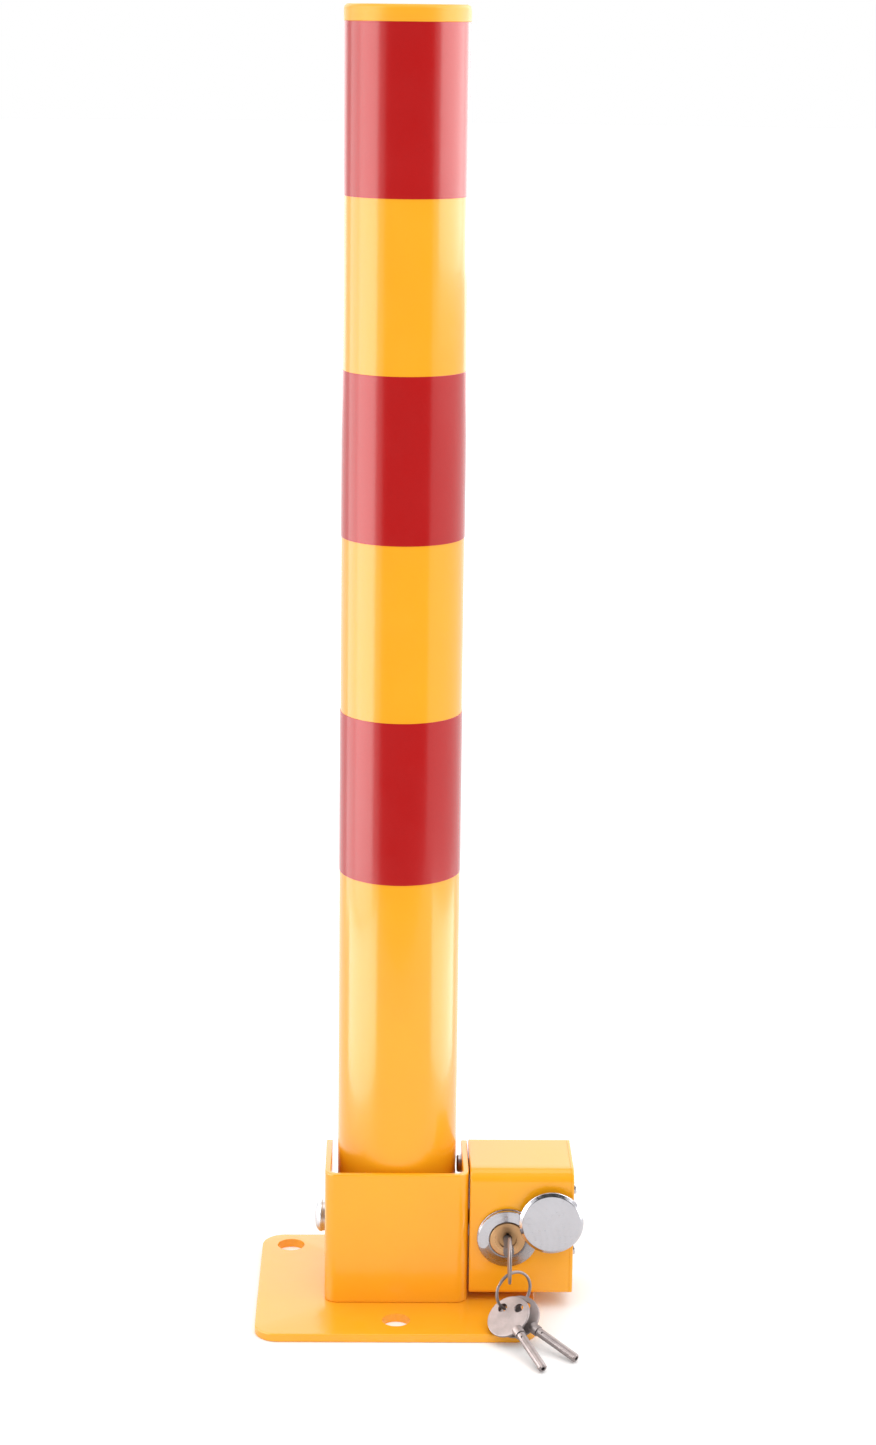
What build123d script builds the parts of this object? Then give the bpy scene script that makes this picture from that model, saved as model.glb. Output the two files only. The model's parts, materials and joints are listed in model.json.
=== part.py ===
from build123d import *
import math
import os

# Fold-down parking post on a bolted base plate, locked upright by a cylinder lock that
# drives a cross bolt. Millimetres, +Z up; the front, where the key goes in, faces -Y.
# The origin is the centre of the base plate's underside. It stands upright and unlocked,
# with a key in the lock and the dust cover swung aside.

# Base plate and its anchor holes
plate_w = 130.0
plate_d = 110.0
plate_t = 4.0
plate_corner_r = 11.0
plate_edge_r = 0.6
anchor_r = 6.5
anchor_front_inset = 15.0
anchor_side_inset = 14.0
anchor_back_inset = 12.5

# Post tube, its bands and its cap
tube_r = 28.0
tube_wall = 2.0
post_height = 600.0
cap_side = 7.5
cap_lip = 0.15
cap_edge_r = 2.2
cap_skirt = 22.0
cap_wall = 2.0
cap_fit = 0.1
band_height = 76.0
band_gap_upper = 77.8
band_gap_lower = 81.4
band_t = 0.2
band_glue = 0.01

# Bracket: sheet bent to a U, open at the back
sheet = 3.0
bend_in_r = 3.0
bracket_front_y = -22.0
bracket_height = 63.5
tube_gap = 2.5
front_gap = 2.5

# Fold hinge
hinge_bolt_r = 4.0
hinge_head_overhang = 3.5
hinge_head_t = 3.8
hinge_head_dome = 3.04
hinge_end_chamfer = 0.6
hinge_washer_overhang = 3.2
hinge_washer_t = 1.6
hinge_washer_air = 0.3
hinge_hole_fit = 0.2
hinge_nut_wall = 2.5
hinge_nut_t = 5.0
hinge_bolt_spare = 1.8
sleeve_wall = 1.5
sleeve_stand = 1.0
bush_wall = 1.4
bush_length = 14.0
bush_flange_overhang = 1.0
bush_side_gap = 0.2
fold_gap = 1.0
running_fit = 0.06
press_fit_gap = 0.02
swing_gap = 0.6
foot_drop = 13.0

# Lock housing: welded sheet box with a screwed end cover
housing_gap = 0.5
housing_w = 48.5
housing_set_back = 2.0
housing_rise = 3.8
housing_above_bracket = 1.0
housing_wall = 2.0
housing_inner_bend_r = 0.4
housing_front_bend_r = 5.5
housing_bend_r = 2.4
end_cover_t = 1.5
end_cover_edge_r = 0.5
end_screw_inset = 5.0
end_screw_low = 20.7
end_screw_high = 10.0
end_screw_r = 1.45
end_screw_hole_fit = 0.15
end_screw_head_r = 2.7
end_screw_head_t = 1.5
end_screw_dome = 0.9
end_screw_slot_w = 0.7
end_screw_slot_reach = 1.62
end_screw_slot_depth = 0.9
end_screw_length = 8.0
end_boss_r = 3.2
end_boss_length = 11.0

# Cylinder lock
lock_inset = 17.7
lock_height = 32.1
barrel_r = 8.25
barrel_proud = 0.5
barrel_edge_r = 0.5
barrel_flange_w = 2.15
barrel_flange_t = 1.0
barrel_fit = 0.15
plug_r = 5.1
plug_nose_r = 4.2
plug_recess = 1.0
plug_lip_t = 2.2
plug_end_play = 0.1
keyway_r = 2.15
keyway_depth = 14.0
keyway_slot_w = 1.3
keyway_slot_h = 5.6
keyway_slot_depth = 4.0
rosette_w = 3.8
rosette_t = 2.4
rosette_edge = 1.1
rosette_slope = 1.76
rosette_flange_pocket = 0.1
lock_nut_af = 22.0
lock_nut_t = 4.0

# Cam and its screw
cam_r = 8.0
cam_t = 2.5
cam_square = 5.5
cam_gap = 0.3
cam_fit = 0.05
cam_pin_r = 1.9
cam_pin_length = 4.4
latch_travel = 8.0
cam_screw_r = 1.9
cam_screw_length = 6.0
cam_screw_head_r = 2.7
cam_screw_head_t = 2.0
cam_screw_slot_w = 0.8
cam_screw_hole_spare = 0.5

# Dust cover, swung on a blind pin beside the lock
cover_r = 15.0
cover_t = 2.2
cover_bevel = 1.3
cover_slope = 1.56
cover_angle = 24.0
cover_air = 0.3
cover_pin_r = 1.6
cover_pin_from_barrel = 2.8
cover_pin_socket = 1.2
cover_pin_end_play = 0.2
stop_inner_gap = 0.5
stop_outer_gap = 0.3
stop_t = 0.8
stop_end_angle = 188.0

# Cross bolt (latch), its guide, carriage and spring
latch_r = 4.25
latch_tip_gap = 0.4
latch_tip_bevel = 0.8
guide_wall = 1.3
guide_flange_r = 6.6
guide_flange_t = 2.0
guide_reach = 6.0
spring_room = 14.0
latch_stem_r = 3.0
carriage_t = 2.6
carriage_air = 0.8
carriage_half_w = 5.3
carriage_top_gap = 0.6
carriage_spring_gap = 0.75
carriage_bolt_gap = 0.05
carriage_tab_y = 4.8
fork_rise = 3.2
fork_fit = 0.3
fork_slot_top = 3.2
clip_t = 1.2
clip_r = 4.2
stem_spare = 1.4
keeper_r = 7.0
keeper_length = 8.0
keeper_fit = 0.35
spring_wire_r = 0.4
spring_bolt_gap = 0.5
spring_turns = 5
spring_seat_gap = 0.3

# Keys and their ring
bow_r = 10.5
bow_t = 1.2
bow_edge_r = 0.36
bow_hole_r = 2.25
bow_hole_at = 6.0
key_shaft_r = 2.0
key_shaft_length = 26.0
key_collar_r = 2.5
key_collar_length = 4.0
key_root = 1.5
key_tip_chamfer = 0.5
key_groove_from = 5.0
key_groove_w = 0.9
key_groove_depth = 0.5
key_tip_hole_r = 0.9
key_tip_hole_depth = 3.0
key_tip_air = 1.6
ring_r = 9.0
ring_wire_r = 0.65
ring_turn = 30.0
ring_lean = 15.6
ring_drop = 0.55
floor_gap = 0.3
key_a_on_ring = 38.0
key_b_on_ring = 18.0
key_a_heading = -66.0
key_b_heading = -44.0
key_a_roll = 36.0
key_b_roll = 37.0
key_hang = 0.3

# Places worked out from the sizes above: plate, post, bracket and hinge
anchor_front_y = anchor_front_inset - plate_d / 2
anchor_back_x = plate_w / 2 - anchor_side_inset
anchor_back_y = plate_d / 2 - anchor_back_inset
tube_y = bracket_front_y + sheet + front_gap + tube_r
tube_top_z = post_height - cap_side
bracket_top_z = plate_t + bracket_height
cheek_in_x = tube_r + tube_gap
cheek_out_x = cheek_in_x + sheet
hinge_z = plate_t + fold_gap + tube_r
hinge_head_r = hinge_bolt_r + hinge_head_overhang
hinge_washer_r = hinge_bolt_r + hinge_washer_overhang
hinge_nut_af = 2 * (hinge_bolt_r + hinge_nut_wall)
bush_r = hinge_bolt_r + running_fit + bush_wall
sleeve_r = bush_r + 2 * press_fit_gap + sleeve_wall
bush_flange_r = sleeve_r + bush_flange_overhang

# Housing
housing_x = cheek_out_x + housing_gap
housing_end_x = housing_x + housing_w - end_cover_t
housing_inner_x = housing_x + housing_wall
housing_front_y = bracket_front_y + housing_set_back
housing_inner_y = housing_front_y + housing_wall
housing_back_y = tube_y + hinge_washer_r + hinge_washer_air + housing_wall
bracket_back_y = housing_back_y
housing_bottom_z = plate_t + housing_rise
housing_top_z = bracket_top_z + housing_above_bracket

# Latch, then the cam and the barrel in front of it
guide_r = latch_r + running_fit + guide_wall
guide_end_x = housing_x + guide_reach
latch_tip_x = tube_r + latch_tip_gap
tab_x = guide_end_x + spring_room
spring_mean_r = latch_r + spring_bolt_gap + spring_wire_r
carriage_top = spring_mean_r + spring_wire_r + carriage_spring_gap
latch_z = housing_top_z - housing_wall - carriage_top_gap - carriage_top
lock_x = housing_x + lock_inset
lock_z = plate_t + lock_height
carriage_back_y = tube_y - latch_r - carriage_bolt_gap
carriage_front_y = carriage_back_y - carriage_t
cam_back_y = carriage_front_y - carriage_air
cam_front_y = cam_back_y - cam_t
barrel_back_y = cam_front_y - cam_gap
cam_pin_at = latch_travel / math.sqrt(2)
fork_x = lock_x + latch_travel / 2
fork_bottom_z = lock_z + fork_rise

# Lock face, rosette and dust cover
barrel_flange_r = barrel_r + barrel_flange_w
rosette_r = barrel_flange_r + rosette_w
rosette_face_y = housing_front_y - rosette_t
barrel_face_y = rosette_face_y - barrel_proud
plug_face_y = barrel_face_y + plug_recess
plug_shoulder_y = barrel_face_y + plug_lip_t + plug_end_play
stop_inner_r = barrel_r + stop_inner_gap
stop_outer_r = rosette_r - stop_outer_gap
stop_face_y = rosette_face_y - stop_t
cover_back_y = stop_face_y - cover_air
cover_pin_at = barrel_r + cover_pin_from_barrel
cover_pin_x = lock_x + cover_pin_at * math.cos(math.radians(cover_angle))
cover_pin_z = lock_z + cover_pin_at * math.sin(math.radians(cover_angle))
cover_x = 2 * cover_pin_x - lock_x
cover_z = 2 * cover_pin_z - lock_z
key_bow_y = plug_face_y + keyway_depth - key_tip_air - key_shaft_length - bow_r

# Length that takes a cutting shape well past whatever it cuts
past = 100.0


def block(x0, x1, y0, y1, z0, z1):
    """A box between two corners."""
    centre = Pos((x0 + x1) / 2, (y0 + y1) / 2, (z0 + z1) / 2)
    return centre * Box(x1 - x0, y1 - y0, z1 - z0)


def rod_x(r, x0, x1, y, z):
    """A round bar along X."""
    return Pos((x0 + x1) / 2, y, z) * Rot(0, 90, 0) * Cylinder(r, x1 - x0)


def rod_y(r, y0, y1, x, z):
    """A round bar along Y."""
    return Pos(x, (y0 + y1) / 2, z) * Rot(90, 0, 0) * Cylinder(r, y1 - y0)


def rod_z(r, z0, z1, x=0.0, y=0.0):
    """A round bar along Z."""
    return Pos(x, y, (z0 + z1) / 2) * Cylinder(r, z1 - z0)


def hexagon(across_flats, length):
    """A hexagonal bar along Z, centred on the origin."""
    outline = RegularPolygon(across_flats / 2, 6, major_radius=False)
    return Pos(0, 0, -length / 2) * extrude(outline, length)


def base_plate():
    plate = extrude(RectangleRounded(plate_w, plate_d, plate_corner_r), plate_t)
    plate = fillet(plate.faces().sort_by(Axis.Z)[-1].edges(), plate_edge_r)
    for x, y in anchor_places():
        plate -= rod_z(anchor_r, -past, past, x, y)
    return plate


def anchor_places():
    front = (0.0, anchor_front_y)
    return [front, (-anchor_back_x, anchor_back_y), (anchor_back_x, anchor_back_y)]


def post_bracket():
    outer_r = bend_in_r + sheet
    long_d = 2 * (bracket_back_y - bracket_front_y)
    centre_y = bracket_front_y + long_d / 2
    outer = RectangleRounded(2 * cheek_out_x, long_d, outer_r)
    inner = RectangleRounded(2 * cheek_in_x, long_d - 2 * sheet, bend_in_r)
    walls = extrude(Pos(0, centre_y) * (outer - inner), bracket_top_z - plate_t)
    walls = Pos(0, 0, plate_t) * walls
    walls &= block(-past, past, -past, bracket_back_y, 0, past)
    walls -= rod_x(hinge_bolt_r + hinge_hole_fit, -past, past, tube_y, hinge_z)
    walls -= rod_x(guide_r + press_fit_gap, 0, past, tube_y, latch_z)
    return walls


def post_tube():
    foot_r = hinge_z - plate_t - swing_gap
    tube = rod_z(tube_r, hinge_z - foot_drop, tube_top_z, 0, tube_y)
    tube -= rod_z(tube_r - tube_wall, 0, post_height, 0, tube_y)
    above = block(-past, past, -past, past, hinge_z, post_height)
    tube &= above + rod_x(foot_r, -past, past, tube_y, hinge_z)
    tube -= rod_x(sleeve_r + press_fit_gap, -past, past, tube_y, hinge_z)
    tube -= rod_x(latch_r + keeper_fit, 0, past, tube_y, latch_z)
    return tube


def post_cap():
    top = rod_z(tube_r + cap_lip, tube_top_z, post_height, 0, tube_y)
    top = fillet(top.edges().sort_by(Axis.Z)[-1], cap_edge_r)
    skirt_r = tube_r - tube_wall - cap_fit
    skirt = rod_z(skirt_r, tube_top_z - cap_skirt, tube_top_z, 0, tube_y)
    hollow = rod_z(skirt_r - cap_wall, 0, tube_top_z + cap_side / 2, 0, tube_y)
    return top + skirt - hollow


def band_tops():
    first = tube_top_z
    second = first - band_height - band_gap_upper
    return [first, second, second - band_height - band_gap_lower]


def reflective_band(top_z):
    inner_r = tube_r + band_glue
    band = rod_z(inner_r + band_t, top_z - band_height, top_z, 0, tube_y)
    return band - rod_z(inner_r, 0, post_height, 0, tube_y)


def hinge_sleeve():
    half = tube_r + sleeve_stand
    sleeve = rod_x(sleeve_r, -half, half, tube_y, hinge_z)
    return sleeve - rod_x(sleeve_r - sleeve_wall, -past, past, tube_y, hinge_z)


def hinge_bushes():
    """Two flanged bearing bushes, one in each end of the sleeve."""
    start = tube_r + sleeve_stand
    end = cheek_in_x - bush_side_gap
    bush = rod_x(bush_r, start - bush_length, start, tube_y, hinge_z)
    bush += rod_x(bush_flange_r, start, end, tube_y, hinge_z)
    bush -= rod_x(hinge_bolt_r + running_fit, 0, past, tube_y, hinge_z)
    return Compound([bush, mirror(bush, Plane.YZ)])


def hinge_bolt():
    """Domed head at the left, shank through both cheeks, end inside the housing."""
    seat = -cheek_out_x - hinge_washer_t
    end = housing_inner_x + hinge_washer_t + hinge_nut_t + hinge_bolt_spare
    head = rod_x(hinge_head_r, seat - hinge_head_t, seat, tube_y, hinge_z)
    head = fillet(head.edges().sort_by(Axis.X)[0], hinge_head_dome)
    shank = rod_x(hinge_bolt_r, seat, end, tube_y, hinge_z)
    return head + chamfer(shank.edges().sort_by(Axis.X)[-1], hinge_end_chamfer)


def hinge_washers():
    hole = rod_x(hinge_bolt_r + hinge_hole_fit, -past, past, tube_y, hinge_z)
    left = -cheek_out_x - hinge_washer_t
    pair = [rod_x(hinge_washer_r, x, x + hinge_washer_t, tube_y, hinge_z) - hole
            for x in (left, housing_inner_x)]
    return Compound(pair)


def hinge_nut():
    x = housing_inner_x + hinge_washer_t + hinge_nut_t / 2
    nut = Pos(x, tube_y, hinge_z) * Rot(0, 90, 0) * hexagon(hinge_nut_af, hinge_nut_t)
    return nut - rod_x(hinge_bolt_r + press_fit_gap, 0, past, tube_y, hinge_z)


def front_and_top(corner):
    """Larger the nearer a corner of the housing's section is to its front and its top."""
    return corner.Y - corner.X


def is_corner(point, depth, height):
    """Whether a point of the housing's section is one of the rectangle's own corners."""
    return math.isclose(abs(point.X), depth / 2) and math.isclose(abs(point.Y), height / 2)


def housing_outline(inset=0.0):
    """The housing's section in the YZ plane, shrunk by the inset all round."""
    depth = housing_back_y - housing_front_y - 2 * inset
    height = housing_top_z - housing_bottom_z - 2 * inset
    section = Rectangle(depth, height)
    section = fillet(section.vertices().sort_by(front_and_top)[-1], housing_front_bend_r - inset)
    plain = [v for v in section.vertices() if is_corner(v, depth, height)]
    section = fillet(plain, max(housing_bend_r - inset, housing_inner_bend_r))
    centre_y = (housing_front_y + housing_back_y) / 2
    centre_z = (housing_bottom_z + housing_top_z) / 2
    return Pos(centre_y, centre_z) * section


def end_screw_places():
    ys = (housing_front_y + end_screw_inset, housing_back_y - end_screw_inset)
    zs = (housing_bottom_z + end_screw_low, housing_top_z - end_screw_high)
    return [(y, z) for y in ys for z in zs]


def lock_housing():
    outer = extrude(Plane.YZ.offset(housing_x) * housing_outline(), housing_end_x - housing_x)
    hollow = Plane.YZ.offset(housing_inner_x) * housing_outline(housing_wall)
    shell = outer - extrude(hollow, housing_end_x)
    boss_x = housing_end_x - end_boss_length
    for y, z in end_screw_places():
        shell += rod_x(end_boss_r, boss_x, housing_end_x, y, z)
        shell -= rod_x(end_screw_r + press_fit_gap, boss_x - end_boss_r, past, y, z)
    shell -= rod_y(barrel_r + barrel_fit, -past, housing_inner_y + housing_wall, lock_x, lock_z)
    inner = housing_inner_x + housing_wall
    shell -= rod_x(hinge_bolt_r + hinge_hole_fit, 0, inner, tube_y, hinge_z)
    shell -= rod_x(guide_r + press_fit_gap, 0, inner, tube_y, latch_z)
    return shell


def housing_end_cover():
    cover = extrude(Plane.YZ.offset(housing_end_x) * housing_outline(), end_cover_t)
    cover = fillet(cover.faces().sort_by(Axis.X)[-1].edges(), end_cover_edge_r)
    for y, z in end_screw_places():
        cover -= rod_x(end_screw_r + end_screw_hole_fit, 0, past, y, z)
    return cover


def end_cover_screws():
    """Four pan-head screws with a cross recess."""
    seat = housing_end_x + end_cover_t
    deep = seat + end_screw_head_t - end_screw_slot_depth
    arm = end_screw_slot_reach
    half = end_screw_slot_w / 2
    screws = []
    for y, z in end_screw_places():
        head = rod_x(end_screw_head_r, seat, seat + end_screw_head_t, y, z)
        head = fillet(head.edges().sort_by(Axis.X)[-1], end_screw_dome)
        for dy, dz in ((arm, half), (half, arm)):
            head -= block(deep, past, y - dy, y + dy, z - dz, z + dz)
        screws.append(head + rod_x(end_screw_r, seat - end_screw_length, seat, y, z))
    return Compound(screws)


def lock_rosette():
    """Round escutcheon with a sloping rim that covers the barrel's flange."""
    disc = rod_y(rosette_r, rosette_face_y, housing_front_y, lock_x, lock_z)
    disc = chamfer(disc.edges().sort_by(Axis.Y)[0], rosette_edge, rosette_slope)
    pocket_y = housing_front_y - barrel_flange_t - rosette_flange_pocket
    disc -= rod_y(barrel_flange_r + barrel_fit, pocket_y, 0, lock_x, lock_z)
    disc -= rod_y(barrel_r + barrel_fit, -past, 0, lock_x, lock_z)
    return disc - rod_y(cover_pin_r + press_fit_gap, -past, 0, cover_pin_x, cover_pin_z)


def lock_barrel():
    barrel = rod_y(barrel_r, barrel_face_y, barrel_back_y, lock_x, lock_z)
    barrel = fillet(barrel.edges().sort_by(Axis.Y)[0], barrel_edge_r)
    barrel += rod_y(barrel_flange_r, housing_front_y - barrel_flange_t, housing_front_y,
                    lock_x, lock_z)
    barrel -= rod_y(plug_nose_r + running_fit, -past, past, lock_x, lock_z)
    lip_back = barrel_face_y + plug_lip_t
    return barrel - rod_y(plug_r + running_fit, lip_back, past, lock_x, lock_z)


def lock_nut():
    y = housing_inner_y + lock_nut_t / 2
    nut = Pos(lock_x, y, lock_z) * Rot(90, 0, 0) * hexagon(lock_nut_af, lock_nut_t)
    return nut - rod_y(barrel_r + press_fit_gap, -past, past, lock_x, lock_z)


def lock_plug():
    """Turning core: nose, body, square drive and a keyway with a cross slot."""
    core = rod_y(plug_r, plug_shoulder_y, barrel_back_y, lock_x, lock_z)
    core += rod_y(plug_nose_r, plug_face_y, plug_shoulder_y, lock_x, lock_z)
    half = cam_square / 2
    core += block(lock_x - half, lock_x + half, barrel_back_y, cam_back_y,
                  lock_z - half, lock_z + half)
    core -= rod_y(keyway_r, -past, plug_face_y + keyway_depth, lock_x, lock_z)
    core -= block(lock_x - keyway_slot_w / 2, lock_x + keyway_slot_w / 2,
                  -past, plug_face_y + keyway_slot_depth,
                  lock_z - keyway_slot_h / 2, lock_z + keyway_slot_h / 2)
    hole_y = cam_back_y - cam_screw_length - cam_screw_hole_spare
    return core - rod_y(cam_screw_r + press_fit_gap, hole_y, past, lock_x, lock_z)


def lock_cam():
    """Disc on the plug's square with one drive pin, half way between its top and its side."""
    cam = rod_y(cam_r, cam_front_y, cam_back_y, lock_x, lock_z)
    half = cam_square / 2 + cam_fit
    cam -= block(lock_x - half, lock_x + half, -past, past, lock_z - half, lock_z + half)
    pin_z = lock_z + latch_travel / 2
    return cam + rod_y(cam_pin_r, cam_back_y, cam_back_y + cam_pin_length, fork_x, pin_z)


def cam_screw():
    back = cam_back_y + cam_screw_head_t
    head = rod_y(cam_screw_head_r, cam_back_y, back, lock_x, lock_z)
    half = cam_screw_slot_w / 2
    head -= block(0, past, back - cam_screw_slot_w, past, lock_z - half, lock_z + half)
    return head + rod_y(cam_screw_r, cam_back_y - cam_screw_length, cam_back_y, lock_x, lock_z)


def cover_stop():
    """Crescent plate over the rosette, from the pin round the top to a rounded end."""
    mid_r = (stop_inner_r + stop_outer_r) / 2
    end_r = (stop_outer_r - stop_inner_r) / 2
    ring = rod_y(stop_outer_r, stop_face_y, rosette_face_y, lock_x, lock_z)
    ring -= rod_y(stop_inner_r, -past, 0, lock_x, lock_z)
    half_space = block(-past, past, -past, 0, 0, past)
    from_pin = Pos(lock_x, 0, lock_z) * Rot(0, -cover_angle, 0) * half_space
    to_end = Pos(lock_x, 0, lock_z) * Rot(0, 180 - stop_end_angle, 0) * half_space
    crescent = ring & from_pin & to_end
    for angle in (cover_angle, stop_end_angle):
        x = lock_x + mid_r * math.cos(math.radians(angle))
        z = lock_z + mid_r * math.sin(math.radians(angle))
        crescent += rod_y(end_r, stop_face_y, rosette_face_y, x, z)
    return crescent - rod_y(cover_pin_r + press_fit_gap, -past, 0, cover_pin_x, cover_pin_z)


def cover_pin():
    tip_y = cover_back_y - cover_pin_socket + cover_pin_end_play
    root_y = housing_front_y - barrel_flange_t - rosette_flange_pocket
    return rod_y(cover_pin_r, tip_y, root_y, cover_pin_x, cover_pin_z)


def dust_cover():
    """Thick disc with a bevelled rim and a blind socket for the pin behind it."""
    disc = rod_y(cover_r, cover_back_y - cover_t, cover_back_y, cover_x, cover_z)
    disc = chamfer(disc.edges().sort_by(Axis.Y)[0], cover_bevel, cover_slope)
    socket_r = cover_pin_r + running_fit
    socket_y = cover_back_y - cover_pin_socket
    return disc - rod_y(socket_r, socket_y, 0, cover_pin_x, cover_pin_z)


def latch_guide():
    """Bush that carries the cross bolt through the cheek and the housing's side."""
    guide = rod_x(guide_r, cheek_in_x, guide_end_x, tube_y, latch_z)
    flange_end = housing_inner_x + guide_flange_t
    guide += rod_x(guide_flange_r, housing_inner_x, flange_end, tube_y, latch_z)
    return guide - rod_x(latch_r + running_fit, 0, past, tube_y, latch_z)


def latch_bolt():
    bolt = rod_x(latch_r, latch_tip_x, tab_x, tube_y, latch_z)
    bolt = chamfer(bolt.edges().sort_by(Axis.X)[0], latch_tip_bevel)
    stem_end = tab_x + carriage_t + clip_t + stem_spare
    return bolt + rod_x(latch_stem_r, tab_x, stem_end, tube_y, latch_z)


def latch_carriage():
    """Bent plate: a tab on the bolt's stem and a fork that straddles the cam pin."""
    top_z = latch_z + carriage_top
    fork = block(fork_x - carriage_half_w, fork_x + carriage_half_w,
                 carriage_front_y, carriage_back_y, fork_bottom_z, top_z)
    slot = cam_pin_r + fork_fit
    slot_top = lock_z + cam_pin_at + slot + fork_slot_top
    fork -= block(fork_x - slot, fork_x + slot, 0, past, 0, slot_top)
    fork -= block(0, tab_x, 0, past, latch_z - carriage_top, past)
    tab = block(tab_x, tab_x + carriage_t, carriage_front_y, tube_y + carriage_tab_y,
                latch_z - carriage_top, top_z)
    return fork + tab - rod_x(latch_stem_r + cam_fit, 0, past, tube_y, latch_z)


def latch_clip():
    x = tab_x + carriage_t
    clip = rod_x(clip_r, x, x + clip_t, tube_y, latch_z)
    return clip - rod_x(latch_stem_r + press_fit_gap, 0, past, tube_y, latch_z)


def latch_keeper():
    """Bush inside the tube that takes the cross bolt's end."""
    inside = rod_z(tube_r - tube_wall - press_fit_gap, 0, post_height, 0, tube_y)
    bush = rod_x(keeper_r, tube_r - tube_wall - keeper_length, tube_r, tube_y, latch_z)
    return (bush & inside) - rod_x(latch_r + keeper_fit, 0, past, tube_y, latch_z)


def latch_spring():
    length = spring_room - 2 * (spring_seat_gap + spring_wire_r)
    path = Helix(length / spring_turns, length, spring_mean_r)
    section = Plane(path @ 0, z_dir=path % 0) * Circle(spring_wire_r)
    coil = sweep(section, path, is_frenet=True)
    start = guide_end_x + spring_seat_gap + spring_wire_r
    return Pos(start, tube_y, latch_z) * Rot(0, 90, 0) * coil


def key():
    """A key along +X from its bow's centre, the bow's face in the XY plane.

    The bow has one ring hole opposite the shaft and one at its +Y side.
    """
    bow = Cylinder(bow_r, bow_t)
    bow = fillet(bow.edges().filter_by(GeomType.CIRCLE), bow_edge_r)
    for x, y in ((-bow_hole_at, 0), (0, bow_hole_at)):
        bow -= rod_z(bow_hole_r, -bow_t, bow_t, x, y)
    tip = bow_r + key_shaft_length
    root = bow_r - key_root
    shaft = rod_x(key_shaft_r, root, tip, 0, 0)
    shaft = chamfer(shaft.edges().sort_by(Axis.X)[-1], key_tip_chamfer)
    shaft += rod_x(key_collar_r, root, root + key_collar_length, 0, 0)
    floor = key_shaft_r - key_groove_depth
    half = key_groove_w / 2
    for low, high in ((floor, past), (-past, -floor)):
        shaft -= block(bow_r + key_groove_from, past, -half, half, low, high)
    shaft -= rod_x(key_tip_hole_r, tip - key_tip_hole_depth, past, 0, 0)
    return bow + shaft


def inserted_key():
    """The key in the lock: bow upright, its side hole at the bottom."""
    frame = Plane((lock_x, key_bow_y, lock_z), x_dir=(0, 1, 0), z_dir=(-1, 0, 0))
    return frame.location * key()


ring_across = Vector(math.cos(math.radians(ring_turn)), math.sin(math.radians(ring_turn)), 0)
ring_hook = Vector(lock_x, key_bow_y, lock_z - bow_hole_at - ring_drop)
ring_centre = (ring_hook + ring_across * (ring_r * math.sin(math.radians(ring_lean)))
               - Vector(0, 0, ring_r * math.cos(math.radians(ring_lean))))


def on_ring(angle):
    """The point on the ring's wire at an angle to the left of its lowest point."""
    turn = math.radians(angle)
    return (ring_centre - ring_across * (ring_r * math.sin(turn))
            - Vector(0, 0, ring_r * math.cos(turn)))


def key_ring():
    normal = ring_across.cross(Vector(0, 0, 1))
    frame = Plane(tuple(ring_centre), x_dir=tuple(ring_across), z_dir=tuple(normal))
    return frame.location * Torus(ring_r, ring_wire_r)


def over_the_plate(place, turn):
    """Level distance from a place above the base plate to the plate's edge, that way."""
    to_side = (plate_w / 2 - place.X) / math.cos(turn)
    to_front = (-plate_d / 2 - place.Y) / math.sin(turn)
    return min(to_side, to_front)


def spare_key_frame(angle, heading, roll):
    """Where a spare key lies: its end hole on the ring and its tip just off the ground.

    Where the base plate reaches out far enough, the shaft lies over its edge instead.
    """
    place = on_ring(angle)
    turn = math.radians(heading)
    reach = bow_hole_at + bow_r + key_shaft_length
    hole_z = place.Z - key_hang
    room = hole_z - key_shaft_r - floor_gap
    dip_to_plate = math.atan((room - plate_t) / over_the_plate(place, turn))
    dip = min(math.asin(room / reach), dip_to_plate)
    ahead = Vector(math.cos(turn) * math.cos(dip), math.sin(turn) * math.cos(dip), -math.sin(dip))
    level = Vector(0, 0, 1).cross(ahead).normalized()
    upward = ahead.cross(level)
    tilt = math.radians(roll)
    face = upward * math.cos(tilt) - level * math.sin(tilt)
    bow_centre = Vector(place.X, place.Y, hole_z) + ahead * bow_hole_at
    return Plane(tuple(bow_centre), x_dir=tuple(ahead), z_dir=tuple(face))


def build():
    nodes = {
        "base_plate": base_plate(),
        "post_bracket": post_bracket(),
        "post_tube": post_tube(),
        "post_cap": post_cap(),
        "hinge_sleeve": hinge_sleeve(),
        "hinge_bushes": hinge_bushes(),
        "hinge_bolt": hinge_bolt(),
        "hinge_washers": hinge_washers(),
        "hinge_nut": hinge_nut(),
        "lock_housing": lock_housing(),
        "housing_end_cover": housing_end_cover(),
        "end_cover_screws": end_cover_screws(),
        "lock_rosette": lock_rosette(),
        "lock_barrel": lock_barrel(),
        "lock_nut": lock_nut(),
        "lock_plug": lock_plug(),
        "lock_cam": lock_cam(),
        "cam_screw": cam_screw(),
        "cover_stop": cover_stop(),
        "cover_pin": cover_pin(),
        "dust_cover": dust_cover(),
        "latch_guide": latch_guide(),
        "latch_bolt": latch_bolt(),
        "latch_carriage": latch_carriage(),
        "latch_clip": latch_clip(),
        "latch_keeper": latch_keeper(),
        "latch_spring": latch_spring(),
        "lock_key": inserted_key(),
        "key_ring": key_ring(),
        "spare_key_a": spare_key_frame(key_a_on_ring, key_a_heading, key_a_roll).location * key(),
        "spare_key_b": spare_key_frame(key_b_on_ring, key_b_heading, key_b_roll).location * key(),
    }
    for name, top_z in zip(("upper", "middle", "lower"), band_tops()):
        nodes[f"{name}_band"] = reflective_band(top_z)
    return nodes


os.makedirs("parts", exist_ok=True)
for node, shape in build().items():
    export_step(shape, f"parts/{node}.step")
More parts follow.
